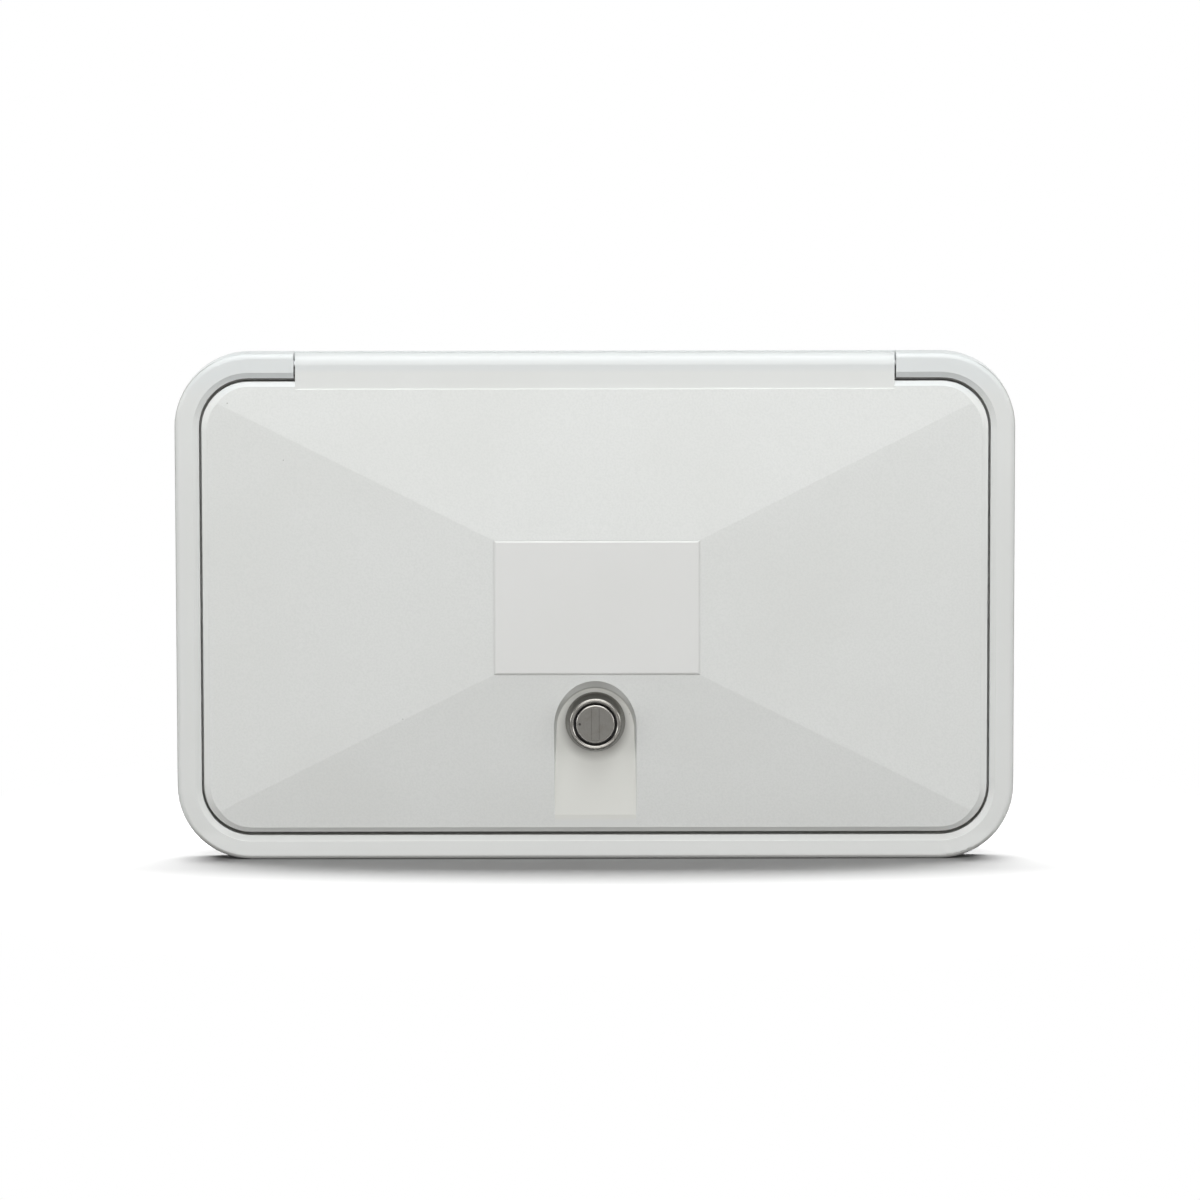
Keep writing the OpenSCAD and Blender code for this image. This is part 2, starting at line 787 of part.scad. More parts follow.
// Metal rosette with a rounded lip, in one piece with the threaded sleeve
module lock_bezel() {
    lip_r = bezel_lip_d / 2;
    ring_r = lip_r - 2 * bezel_lip_r;
    head_r = barrel_d / 2 + barrel_fit;
    neck_r = barrel_neck_d / 2 + barrel_fit;
    lip_mid_z = lip_top_z - bezel_lip_r;
    color("darkgray")
        upright()
            on_lock_axis() {
                rotate_extrude() {
                    polygon([
                        [neck_r, bezel_z - over],
                        [sleeve_flat_w / 2, bezel_z - over],
                        [sleeve_flat_w / 2, bezel_z],
                        [bezel_d / 2, bezel_z],
                        [bezel_d / 2, bezel_z + bezel_edge_t],
                        [lip_r, lip_mid_z],
                        [ring_r, lip_mid_z],
                        [ring_r, ring_floor_z],
                        [head_r, ring_floor_z],
                        [head_r, barrel_head_z - barrel_fit],
                        [neck_r, barrel_head_z - barrel_fit]
                    ]);
                    translate([lip_r - bezel_lip_r, lip_mid_z])
                        circle(bezel_lip_r);
                }
                difference() {
                    flatted_bar(sleeve_d, sleeve_flat_w, sleeve_end_z, bezel_z + over / 2);
                    translate([0, 0, sleeve_end_z - over])
                        cylinder(h = 2 * frame_d, r = neck_r);
                }
            }
}

// Flat ring between two levels on the lock's axis
module ring(outer_d, inner_d, z0, z1) {
    difference() {
        translate([0, 0, z0])
            cylinder(h = z1 - z0, d = outer_d);
        translate([0, 0, z0 - over])
            cylinder(h = z1 - z0 + 2 * over, d = inner_d);
    }
}

module lock_gasket() {
    color("black")
        upright()
            on_lock_axis()
                ring(bezel_d - 2 * gasket_inset, sleeve_d + 2 * gasket_fit, floor_z, bezel_z);
}

module lock_washer() {
    color("silver")
        upright()
            on_lock_axis()
                ring(washer_d, sleeve_d + 2 * sleeve_fit, field_z - washer_t, field_z);
}

module lock_nut() {
    nut_z = field_z - washer_t - nut_t;
    color("silver")
        upright()
            on_lock_axis()
                difference() {
                    translate([0, 0, nut_z])
                        cylinder(h = nut_t, r = nut_af / 2 / cos(30), $fn = 6);
                    translate([0, 0, nut_z - over])
                        cylinder(h = nut_t + 2 * over, r = sleeve_d / 2 + nut_fit);
                }
}

// Turning barrel: a round head in the bezel, a neck through the door and a square end
module lock_barrel() {
    head_r = barrel_d / 2;
    neck_r = barrel_neck_d / 2;
    color("gray")
        upright()
            on_lock_axis()
                difference() {
                    union() {
                        rotate_extrude() {
                            square_to(head_r - barrel_edge_r, barrel_head_z, barrel_face_z);
                            square_to(head_r, barrel_head_z, barrel_face_z - barrel_edge_r);
                            intersection() {
                                translate([head_r - barrel_edge_r, barrel_face_z - barrel_edge_r])
                                    circle(barrel_edge_r);
                                square_to(2 * head_r, barrel_head_z, 2 * barrel_face_z);
                            }
                            square_to(neck_r, shoulder_z, barrel_head_z + over);
                        }
                        translate([-tang_w / 2, -tang_w / 2, cam_end_z])
                            cube([tang_w, tang_w, cam_t + over]);
                    }
                    translate([-shutter_w / 2, -shutter_l / 2, barrel_face_z - shutter_sink - shutter_t])
                        cube([shutter_w, shutter_l, 2 * shutter_t]);
                    translate([-dot_offset, 0, barrel_face_z - dot_d / 2])
                        cylinder(h = dot_d, d = dot_d);
                    translate([0, 0, cam_end_z - over])
                        cylinder(h = cam_screw_l + 2 * over, d = cam_screw_d);
                }
}

// Rectangle of a revolved section, from the axis out to a radius
module square_to(r, z0, z1) {
    translate([0, z0])
        square([r, z1 - z0]);
}

// Sprung shutter that closes the keyway from behind the barrel's face
module key_shutter() {
    w = shutter_w - 2 * shutter_fit;
    l = shutter_l - 2 * shutter_fit;
    color("darkgray")
        upright()
            on_lock_axis()
                translate([-w / 2, -l / 2, barrel_face_z - shutter_sink - shutter_t])
                    cube([w, l, shutter_t]);
}

// Steel cam, pointing sideways while the lock is open
module lock_cam() {
    hole_w = tang_w + 2 * tang_fit;
    color("silver")
        upright()
            on_lock_axis()
                translate([0, 0, cam_end_z])
                    linear_extrude(cam_t)
                        difference() {
                            union() {
                                circle(d = cam_head_d);
                                translate([0, -cam_w / 2])
                                    square([cam_l - cam_tip_r, cam_w]);
                                translate([cam_l - 2 * cam_tip_r, cam_tip_r - cam_w / 2])
                                    square([2 * cam_tip_r, cam_w - 2 * cam_tip_r]);
                                for (s = [-1, 1])
                                    translate([cam_l - cam_tip_r, s * (cam_w / 2 - cam_tip_r)])
                                        circle(cam_tip_r);
                            }
                            square(hole_w, center = true);
                        }
}

module cam_washer() {
    color("silver")
        upright()
            on_lock_axis()
                ring(cam_washer_d, cam_screw_d + 2 * cam_washer_fit, cam_end_z - cam_washer_t, cam_end_z);
}

module cam_screw() {
    head_z = cam_end_z - cam_washer_t;
    color("silver")
        upright()
            on_lock_axis() {
                translate([0, 0, head_z - cam_screw_head_h])
                    cylinder(h = cam_screw_head_h, r = cam_screw_af / 2 / cos(30), $fn = 6);
                translate([0, 0, head_z - cam_screw_head_h / 2])
                    cylinder(h = cam_screw_l + cam_washer_t + cam_screw_head_h / 2, d = cam_screw_d - 2 * cam_screw_fit);
            }
}

outer_frame();
hinge_rod();
strike();
door_skin();
centre_plate();
door_liner();
door_seal();
lock_bezel();
lock_gasket();
lock_washer();
lock_nut();
lock_barrel();
key_shutter();
lock_cam();
cam_washer();
cam_screw();
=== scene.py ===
"""Caravan access hatch: finishes, small fasteners, soft studio light and the camera.

Everything is in metres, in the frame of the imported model: X to the right, Z up, Y into the vehicle.
"""

import math

import bpy
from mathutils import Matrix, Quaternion, Vector


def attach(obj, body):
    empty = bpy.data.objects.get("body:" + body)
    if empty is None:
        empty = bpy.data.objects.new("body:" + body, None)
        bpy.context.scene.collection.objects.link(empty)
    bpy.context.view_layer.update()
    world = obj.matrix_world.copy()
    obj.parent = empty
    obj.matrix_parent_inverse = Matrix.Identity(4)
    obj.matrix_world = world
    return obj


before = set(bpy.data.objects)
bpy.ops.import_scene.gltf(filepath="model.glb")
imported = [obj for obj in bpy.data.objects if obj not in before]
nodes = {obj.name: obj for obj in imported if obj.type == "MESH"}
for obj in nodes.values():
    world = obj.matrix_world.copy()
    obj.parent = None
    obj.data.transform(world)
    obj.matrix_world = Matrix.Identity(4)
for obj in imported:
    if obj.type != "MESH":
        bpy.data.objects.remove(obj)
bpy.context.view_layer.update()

MM = 0.001

# Sizes of the hatch, as in the part's source
FLANGE_W, FLANGE_H, FLANGE_R = 430 * MM, 262 * MM, 38 * MM
OPENING_W, OPENING_H, OPENING_R = 405 * MM, 237 * MM, 25.5 * MM
DOOR_W, DOOR_H, DOOR_R = 402.4 * MM, 233.4 * MM, 24.2 * MM
FRONT_Y = -14 * MM
RIM_SHOULDER_Y = -12.5 * MM
HINGE_W = 306.2 * MM
HINGE_EDGE_Z = 112.8 * MM
LOCK_Z = -59.0 * MM
RECESS_HALF_W = 20.9 * MM
RECESS_FLOOR_Y = -14.5 * MM
LIP_TOP_Y = -24.9 * MM
LIP_R = 12.25 * MM
BARREL_R = 10.05 * MM
BARREL_FACE_Y = -24.2 * MM
RING_R = 11.0 * MM
DOT_X, DOT_R = 8 * MM, 0.6 * MM
SHUTTER_W, SHUTTER_L = 4 * MM, 16.8 * MM
SLEEVE_R, SLEEVE_FLAT = 11.0 * MM, 10.0 * MM
FIELD_Y = -4 * MM
BOSS_X = (159.5 * MM, 60 * MM)
BOSS_Z = 80.5 * MM
STRIKE_TOP_Z = -100.5 * MM
STRIKE_HOLE_X, STRIKE_HOLE_Y = 6 * MM, 13 * MM
COLLAR_UNDER_Z = -105.5 * MM

# Sizes of the small pieces
SCREW_HEAD_R, SCREW_HEAD_H, SCREW_HEAD_ROUND = 2.9 * MM, 1.9 * MM, 1.1 * MM
CROSS_L, CROSS_W, CROSS_DEPTH = 2.9 * MM, 0.75 * MM, 1.2 * MM
SCREW_SHANK_R, SCREW_SHANK_L = 1.25 * MM, 6.4 * MM
SCREW_ROOT_R, SCREW_CREST_R, SCREW_PITCH = 1.2 * MM, 1.52 * MM, 1.1 * MM
SCREW_TURNS, SCREW_THREAD_L = 5, 6.3 * MM
SCREW_STOP = math.radians(37)
RIVET_HEAD_R, RIVET_HEAD_H, RIVET_HEAD_ROUND = 3.2 * MM, 1.1 * MM, 0.7 * MM
RIVET_HEAD_GAP = 0.5 * MM
RIVET_SHANK_R, RIVET_SHANK_L = 1.75 * MM, 5.6 * MM
RIVET_TAIL_R, RIVET_TAIL_H, RIVET_TAIL_ROUND = 2.7 * MM, 0.7 * MM, 0.25 * MM
RIVET_BORE_R, RIVET_BORE_L, RIVET_BORE_DROP = 1.1 * MM, 1.0 * MM, 0.6 * MM
SLEEVE_ROOT_R, SLEEVE_CREST_R = SLEEVE_R - 0.3 * MM, SLEEVE_R + 0.06 * MM
SLEEVE_PITCH, SLEEVE_TURNS, SLEEVE_THREAD_Y = 1.0 * MM, 6, FIELD_Y + 0.2 * MM
PIP_FOOT_R, PIP_TOP_R, PIP_H, PIP_ROUND = 1.1 * MM, 0.55 * MM, 0.5 * MM, 0.12 * MM
PIP_Y, PIP_Z = LIP_TOP_Y + 0.26 * MM, LOCK_Z - LIP_R - 0.5 * MM
SMOOTH_UNDER = math.radians(30)

# Turn that lays an upright shape along Y, with its top towards the viewer
ALONG_Y = (math.radians(90), 0, 0)

# Rounding of each node's sharp edges, in millimetres
EDGE_ROUND = {
    "outer_frame": 0.5, "door_skin": 0.25, "door_liner": 0.5, "centre_plate": 0.14,
    "lock_bezel": 0.15, "lock_barrel": 0.1, "key_shutter": 0.08, "lock_cam": 0.3,
    "strike": 0.3, "lock_nut": 0.3, "lock_washer": 0.15, "cam_washer": 0.15,
    "cam_screw": 0.3, "hinge_rod": 0.4, "lock_gasket": 0.1, "door_seal": 0.15,
}
WELD_REACH = 0.001 * MM
SHARP_OVER = math.radians(20)

# Dirt specks on the front: X, Z and radius in millimetres
SPECKS = ((-187.8, 105.9, 0.45), (17.6, -55.2, 0.35), (-98.8, -57.2, 0.4), (-159.3, 76.7, 0.4))

# Camera, from the photograph's keystone and the offset between the flange and the crown
CAMERA_ELEVATION = math.radians(8.5)
CAMERA_ROLL = math.radians(-0.09)
CAMERA_DISTANCE = 4.46
CAMERA_LENS, CAMERA_SENSOR = 260.15, 36.0
CAMERA_REACH = 100
AIM = Vector((0.0025, 0, 0.0018))

# Stage; the floor is seen as it is up to the zone's first radius, and white from its second
FLOOR_SIZE = 40
FLOOR_GREY = 0.4
SHADOW_ZONE = 0.20, 0.33
SHADOW_ZONE_SQUEEZE = (0.85, 1, 0)
STUDIO_LEVEL = 0.15

# Colours in linear light; a pair holds the two ends of a mottled one
DOOR_WHITE = (0.743, 0.755, 0.736), (0.725, 0.736, 0.714)
FRAME_WHITE = (0.725, 0.737, 0.720), (0.708, 0.719, 0.700)
PLATE_WHITE = (0.748, 0.752, 0.735), (0.734, 0.738, 0.719)
LINER_WHITE = (0.735, 0.745, 0.724), (0.715, 0.725, 0.702)
# Painted light: the upper rail is tinted cooler and a little darker, for the cool light from above
UPPER_RAIL_PAINTED_COOL = (0.712, 0.737, 0.732)
# Painted light: the lower rail's face is lighter, for light from below
LOWER_RAIL_PAINTED_LIGHT = (0.772, 0.784, 0.766)
# Painted light: a warmer tint in the lock recess
RECESS_PAINTED_LIGHT = (0.746, 0.750, 0.708)
# Painted shade: a cooler, dimmer white on surfaces that face the light from above
BROW_PAINTED_SHADE = (0.695, 0.715, 0.708)
GRAIN_SHADE = (0.66, 0.675, 0.655)
LINER_SHADE = (0.68, 0.69, 0.67)
# Dark tone for the dirt specks, and for painted shade in joints, the lock recess, the outline and under
# the lower rail
DIRT_AND_SHADE = (0.250, 0.245, 0.225)
RUBBER = (0.018, 0.018, 0.019), (0.06, 0.058, 0.055)
NICKEL = (0.178, 0.173, 0.161), (0.146, 0.140, 0.127)
# Painted highlight on the lock's metal
NICKEL_PAINTED_HIGHLIGHT = (0.31, 0.30, 0.285)
# Painted shade in the barrel's index dot and seams
DOT_AND_SEAM_SHADE = (0.03, 0.028, 0.025)
# Painted shade in the deep ring round the lock's barrel
RING_PAINTED_SHADE = (0.012, 0.012, 0.012)
ZINC = (0.47, 0.48, 0.49), (0.37, 0.375, 0.375)
COOL = (0.98, 1.0, 1.01)
WARM = (1.015, 1.0, 0.995)


# Shader helpers: each returns a socket of a new node, where it says nothing else
def shader(name):
    """New material with a Principled shader: material, tree, place socket and shader."""
    material = bpy.data.materials.new(name)
    material.use_nodes = True
    tree = material.node_tree
    place = tree.nodes.new("ShaderNodeTexCoord").outputs["Object"]
    return material, tree, place, tree.nodes["Principled BSDF"]


def feed(tree, socket, value):
    """Links a socket to an input, or writes a constant into it."""
    if isinstance(value, bpy.types.NodeSocket):
        tree.links.new(value, socket)
    else:
        socket.default_value = value


def calc(tree, operation, *values):
    node = tree.nodes.new("ShaderNodeMath")
    node.operation = operation
    for socket, value in zip(node.inputs, values):
        feed(tree, socket, value)
    return node.outputs[0]


def product(tree, first, *others):
    """Shares multiplied, which leaves only where they all hold."""
    for share in others:
        first = calc(tree, "MULTIPLY", first, share)
    return first


def rest_of(tree, share):
    return calc(tree, "SUBTRACT", 1.0, share)


def vector_calc(tree, operation, *values):
    node = tree.nodes.new("ShaderNodeVectorMath")
    node.operation = operation
    for socket, value in zip(node.inputs, values):
        feed(tree, socket, value)
    return node.outputs["Value"] if operation == "LENGTH" else node.outputs["Vector"]


def between(tree, value, start, end, low=0.0, high=1.0):
    """Smooth step of a value: low before start, high after end."""
    node = tree.nodes.new("ShaderNodeMapRange")
    node.interpolation_type = "SMOOTHSTEP"
    feed(tree, node.inputs["Value"], value)
    for name, number in (("From Min", start), ("From Max", end), ("To Min", low), ("To Max", high)):
        node.inputs[name].default_value = number
    return node.outputs["Result"]


def fading(tree, value, start, end, high=1.0):
    """Smooth step down: high before start, zero after end."""
    return between(tree, value, start, end, low=high, high=0.0)


def clouds(tree, place, scale, detail, roughness=0.5, stretch=None):
    """Noise between zero and one."""
    if stretch:
        mapping = tree.nodes.new("ShaderNodeMapping")
        feed(tree, mapping.inputs["Vector"], place)
        mapping.inputs["Scale"].default_value = stretch
        place = mapping.outputs["Vector"]
    node = tree.nodes.new("ShaderNodeTexNoise")
    feed(tree, node.inputs["Vector"], place)
    node.inputs["Scale"].default_value = scale
    node.inputs["Detail"].default_value = detail
    node.inputs["Roughness"].default_value = roughness
    return node.outputs["Fac"]


def tint(tree, share, start, end):
    """Colour that runs from start to end with a share."""
    node = tree.nodes.new("ShaderNodeMix")
    node.data_type = "RGBA"
    feed(tree, node.inputs["Factor"], share)
    for name, colour in (("A", start), ("B", end)):
        if isinstance(colour, bpy.types.NodeSocket):
            tree.links.new(colour, node.inputs[name])
        else:
            node.inputs[name].default_value = (*colour, 1)
    return node.outputs["Result"]


def darkened(tree, colour, share):
    """Colour under a share of the dark tone that serves for dirt specks and for painted shade."""
    return tint(tree, share, colour, DIRT_AND_SHADE)


def relief(tree, height, depth, strength):
    """Surface direction of a fine relief."""
    node = tree.nodes.new("ShaderNodeBump")
    node.inputs["Distance"].default_value = depth
    feed(tree, node.inputs["Strength"], strength)
    feed(tree, node.inputs["Height"], height)
    return node.outputs["Normal"]


def axes(tree, place):
    """X, Y and Z of a place, as three sockets."""
    node = tree.nodes.new("ShaderNodeSeparateXYZ")
    feed(tree, node.inputs[0], place)
    return node.outputs


def beyond_edge(tree, place, width, height, radius):
    """Distance outside a rounded rectangle that is seen from the front, negative inside it."""
    flat = vector_calc(tree, "MULTIPLY", place, (1, 0, 1))
    folded = vector_calc(tree, "ABSOLUTE", flat)
    corner_middle = (width / 2 - radius, 0, height / 2 - radius)
    past = vector_calc(tree, "SUBTRACT", folded, corner_middle)
    corner = vector_calc(tree, "MAXIMUM", past, (0, 0, 0))
    return calc(tree, "SUBTRACT", vector_calc(tree, "LENGTH", corner), radius)


def from_line(tree, place, x, z):
    """Distance from a line that runs straight into the wall."""
    offset = vector_calc(tree, "SUBTRACT", place, (x, 0, z))
    return vector_calc(tree, "LENGTH", vector_calc(tree, "MULTIPLY", offset, (1, 0, 1)))


# Stage: floor, surroundings, lamps and camera
def seen_directly(tree):
    """One where the camera, a mirror or a pane sees the surface, zero for the light it gives off."""
    ray = tree.nodes.new("ShaderNodeLightPath")
    seen = calc(tree, "MAXIMUM", ray.outputs["Is Camera Ray"], ray.outputs["Is Glossy Ray"])
    return calc(tree, "MAXIMUM", seen, ray.outputs["Is Transmission Ray"])


def floor_finish():
    """Pale sweep: it keeps the hatch's shadow, and runs into plain white further out."""
    material, tree, place, bsdf = shader("studio_floor")
    bsdf.inputs["Base Color"].default_value = (FLOOR_GREY, FLOOR_GREY, FLOOR_GREY, 1)
    bsdf.inputs["Roughness"].default_value = 0.9
    bsdf.inputs["Specular IOR Level"].default_value = 0.0
    level = vector_calc(tree, "MULTIPLY", place, SHADOW_ZONE_SQUEEZE)
    far = between(tree, vector_calc(tree, "LENGTH", level), *SHADOW_ZONE)
    white = tree.nodes.new("ShaderNodeEmission")
    shown = tree.nodes.new("ShaderNodeMixShader")
    feed(tree, shown.inputs["Fac"], far)
    tree.links.new(bsdf.outputs["BSDF"], shown.inputs[1])
    tree.links.new(white.outputs["Emission"], shown.inputs[2])
    both = tree.nodes.new("ShaderNodeMixShader")
    feed(tree, both.inputs["Fac"], seen_directly(tree))
    tree.links.new(shown.outputs["Shader"], both.inputs[2])
    tree.links.new(both.outputs["Shader"], tree.nodes["Material Output"].inputs["Surface"])
    return material


def build_floor():
    """Level floor that the hatch's lower rail stands on."""
    deselect()
    bpy.ops.mesh.primitive_plane_add(size=FLOOR_SIZE, location=(0, 0, -FLANGE_H / 2))
    floor = bpy.context.object
    floor.name = "floor"
    settle()
    floor.data.materials.append(floor_finish())
    return floor


def build_surroundings():
    """Dim studio for the light, and plain white where it is seen or mirrored."""
    world = bpy.data.worlds.new("studio")
    bpy.context.scene.world = world
    world.use_nodes = True
    tree = world.node_tree
    lit = tree.nodes["Background"]
    lit.inputs["Color"].default_value = (1, 1, 0.99, 1)
    lit.inputs["Strength"].default_value = STUDIO_LEVEL
    white = tree.nodes.new("ShaderNodeBackground")
    white.inputs["Color"].default_value = (1, 1, 1, 1)
    mix = tree.nodes.new("ShaderNodeMixShader")
    feed(tree, mix.inputs["Fac"], seen_directly(tree))
    tree.links.new(lit.outputs["Background"], mix.inputs[1])
    tree.links.new(white.outputs["Background"], mix.inputs[2])
    tree.links.new(mix.outputs["Shader"], tree.nodes["World Output"].inputs["Surface"])


def soft_box(name, place, target, size, power, colour=(1, 1, 1), only=(), mirrored=True):
    """Area lamp for all but the floor, or for some things only, so that each keeps its level."""
    light = bpy.data.lights.new(name, "AREA")
    light.shape = "RECTANGLE"
    light.size, light.size_y = size
    light.energy = power
    light.color = colour
    lamp = bpy.data.objects.new(name, light)
    bpy.context.scene.collection.objects.link(lamp)
    lamp.location = place
    lamp.rotation_euler = (Vector(target) - Vector(place)).to_track_quat("-Z", "Y").to_euler()
    lamp.visible_camera = False
    lamp.visible_glossy = mirrored
    lit = bpy.data.collections.new(name + "_lit")
    for thing in only or [floor]:
        lit.objects.link(thing)
    lamp.light_linking.receiver_collection = lit
    for item in lit.collection_objects:
        item.light_linking.link_state = "INCLUDE" if only else "EXCLUDE"


def build_lamps():
    """Soft light from above, in front, the sides and behind; the floor and the lock have their own.

    The lamps behind the hatch aren't mirrored, because flat steel and the plate would burn out.
    """
    hatch, floor_under = (0, 0, 0), (0, 0, -0.13)
    lock_front = [nodes["lock_bezel"], nodes["lock_barrel"]]
    soft_box("overhead", (0, -0.35, 1.3), (0, -0.05, 0), (1.4, 0.7), 6.0, COOL)
    soft_box("overhead_front", (0, -0.70, 1.2), hatch, (1.6, 1.1), 9.25, COOL)
    soft_box("front_fill", (0, -5.0, 0.9), hatch, (3.5, 1.6), 92, WARM)
    for name, side in (("side_left", -1), ("side_right", 1)):
        soft_box(name, (2.2 * side, -1.0, 0.2), hatch, (1.2, 1.0), 18.8)
    soft_box("back_fill", (0, 5.0, 0.14), hatch, (3.5, 0.5), 48, mirrored=False)
    for name, side in (("back_left", 1), ("back_right", -1)):
        soft_box(name, (3.3 * side, 4.7, 0.25), hatch, (2.4, 0.7), 138, mirrored=False)
    soft_box("floor_light", (0, 0.43, 1.74), floor_under, (3.8, 0.52), 211, only=[floor])
    soft_box("floor_fill", (0, -1.5, 1.6), floor_under, (2.0, 1.0), 18, only=[floor])
    soft_box("lock_glint", (0, -0.75, 1.25), hatch, (2.6, 1.0), 23, only=lock_front)


def build_camera():
    """Long lens, at the distance and slant that the photograph's perspective gives."""
    camera = bpy.data.cameras.new("camera")
    camera.lens = CAMERA_LENS
    camera.sensor_width = CAMERA_SENSOR
    camera.clip_end = CAMERA_REACH
    seat = bpy.data.objects.new("camera", camera)
    bpy.context.scene.collection.objects.link(seat)
    offset = Vector((0, -math.cos(CAMERA_ELEVATION), math.sin(CAMERA_ELEVATION)))
    seat.location = AIM + CAMERA_DISTANCE * offset
    turned = (-offset).to_track_quat("-Z", "Y") @ Quaternion((0, 0, 1), CAMERA_ROLL)
    seat.rotation_euler = turned.to_euler()
    bpy.context.scene.camera = seat


# Finishes of the white mouldings
def flow_colour(tree, place, whites):
    """White with the faint flow clouds of a moulding."""
    flow = clouds(tree, place, scale=14, detail=3)
    return tint(tree, between(tree, flow, start=0.35, end=0.7), *whites)


def sheen(tree, place, smoothest, roughest):
    """Roughness that wanders a little over a moulding."""
    waves = clouds(tree, place, scale=160, detail=3)
    return between(tree, waves, start=0.3, end=0.7, low=smoothest, high=roughest)


def plastic_base(name, whites, roughness, grain, grain_strength):
    """White moulding but for its colour: its sockets, and the flow colour to start from."""
    material, tree, place, bsdf = shader(name)
    colour = flow_colour(tree, place, whites)
    feed(tree, bsdf.inputs["Roughness"], sheen(tree, place, roughness - 0.04, roughness + 0.05))
    bsdf.inputs["IOR"].default_value = 1.5
    fine = clouds(tree, place, scale=grain, detail=2, roughness=0.6)
    feed(tree, bsdf.inputs["Normal"], relief(tree, fine, depth=0.06 * MM, strength=grain_strength))
    return material, tree, place, bsdf, colour


def joint_shade_share(tree, z):
    """Share of painted shade in the joint round the door: none at the sides, more below, most above."""
    ends = between(tree, calc(tree, "ABSOLUTE", z), start=85 * MM, end=113 * MM, high=0.55)
    above = between(tree, z, start=100 * MM, end=115 * MM, high=0.4)
    return calc(tree, "ADD", ends, above)


def joint_depth(tree, y):
    """Zero in front of the rims' shoulders, one deep in the joint."""
    return between(tree, y, start=RIM_SHOULDER_Y, end=-8.5 * MM)


def outline_shade(tree, place, y, z):
    """Thin line of painted shade at the front edge of the flange's outline, but for its top and bottom.
    """
    edge = beyond_edge(tree, place, FLANGE_W, FLANGE_H, FLANGE_R)
    outline = between(tree, edge, start=-0.5 * MM, end=-0.35 * MM)
    front = fading(tree, y, start=-11.5 * MM, end=-10.0 * MM)
    beside = fading(tree, calc(tree, "ABSOLUTE", z), start=124 * MM, end=129 * MM, high=0.5)
    return product(tree, outline, front, beside)


def frame_plastic():
    """Smooth satin rails, with painted light and shade on the upper and lower rails, at their outline
    and in the joint round the door.
    """
    material, tree, place, bsdf, colour = plastic_base(
        "frame_plastic_finish", FRAME_WHITE, roughness=0.40, grain=420, grain_strength=0.12)
    _, y, z = axes(tree, place)
    # Painted cool light from above on the upper rail
    upper = between(tree, z, start=104 * MM, end=122 * MM)
    colour = tint(tree, upper, colour, UPPER_RAIL_PAINTED_COOL)

    # Painted light from below on the lower rail's face, and painted shade on its rounding and underside
    lower = fading(tree, z, start=-120 * MM, end=-114 * MM)
    face = fading(tree, y, start=FRONT_Y + 0.02 * MM, end=FRONT_Y + 0.15 * MM)
    colour = tint(tree, product(tree, lower, face), colour, LOWER_RAIL_PAINTED_LIGHT)
    underside_shade = 0.26
    colour = darkened(tree, colour, product(tree, lower, rest_of(tree, face), underside_shade))
    # Painted shade along the flange's outline
    colour = darkened(tree, colour, outline_shade(tree, place, y, z))

    # Painted shade in the joint round the door
    edge = beyond_edge(tree, place, OPENING_W, OPENING_H, OPENING_R)
    inner = between(tree, edge, start=-3.2 * MM, end=-1.0 * MM)
    outer = fading(tree, edge, start=0.4 * MM, end=0.8 * MM)
    joint_shade = product(tree, joint_depth(tree, y), inner, outer, joint_shade_share(tree, z))
    feed(tree, bsdf.inputs["Base Color"], darkened(tree, colour, joint_shade))
    return material


def in_recess(tree, beside, y, z):
    """One on the floor and walls of the lock recess, zero on the facet round it."""
    within = calc(tree, "LESS_THAN", beside, RECESS_HALF_W)
    below_top = calc(tree, "LESS_THAN", z, LOCK_Z + 22 * MM)
    sunk = between(tree, y, start=RECESS_FLOOR_Y - 0.6 * MM, end=RECESS_FLOOR_Y - 0.2 * MM)
    in_front = fading(tree, y, start=RECESS_FLOOR_Y + 0.05 * MM, end=RECESS_FLOOR_Y + 0.3 * MM)
    return product(tree, within, below_top, sunk, in_front)


def recess_outline(tree, beside, z):
    """One inside the lock recess as seen from the front: an arch that is open below."""
    above_lock = calc(tree, "MAXIMUM", calc(tree, "SUBTRACT", z, LOCK_Z), 0.0)
    squares = [calc(tree, "POWER", reach, 2.0) for reach in (beside, above_lock)]
    from_lock = calc(tree, "SQRT", calc(tree, "ADD", *squares))
    return fading(tree, from_lock, start=RECESS_HALF_W - 0.4 * MM, end=RECESS_HALF_W + 0.4 * MM)


def brow_shade_share(tree, z, on_rim, hinge):
    """Share of painted shade, cool and dim, on the door's upper rim and on the crown of the hinge
    section.
    """
    upper_rim = product(tree, between(tree, z, start=105 * MM, end=113 * MM), on_rim)
    crown = between(tree, z, start=120.5 * MM, end=124 * MM)
    return calc(tree, "MAXIMUM", product(tree, upper_rim, rest_of(tree, hinge)), crown)


def skirt_shade(tree, edge, y, z):
    """Share of painted shade on the door's skirt, inside the joint."""
    outside = between(tree, edge, start=-0.8 * MM, end=-0.5 * MM)
    within = fading(tree, edge, start=0.3 * MM, end=0.5 * MM)
    return product(tree, outside, within, joint_depth(tree, y), joint_shade_share(tree, z))


def lock_recess_shade(tree, place, y, z, recess):
    """Share of painted shade in the lock recess: a soft ring round the lock, and more of it above."""
    above = between(tree, z, start=LOCK_Z + 7 * MM, end=LOCK_Z + 15 * MM, high=0.42)
    from_bezel = from_line(tree, place, 0, LOCK_Z - 2.5 * MM)
    ring = fading(tree, from_bezel, start=13.5 * MM, end=20.0 * MM, high=0.55)
    share = calc(tree, "MAXIMUM", product(tree, above, recess), ring)
    low = between(tree, y, start=RECESS_FLOOR_Y - 1.5 * MM, end=RECESS_FLOOR_Y - 0.5 * MM)
    return product(tree, share, low)


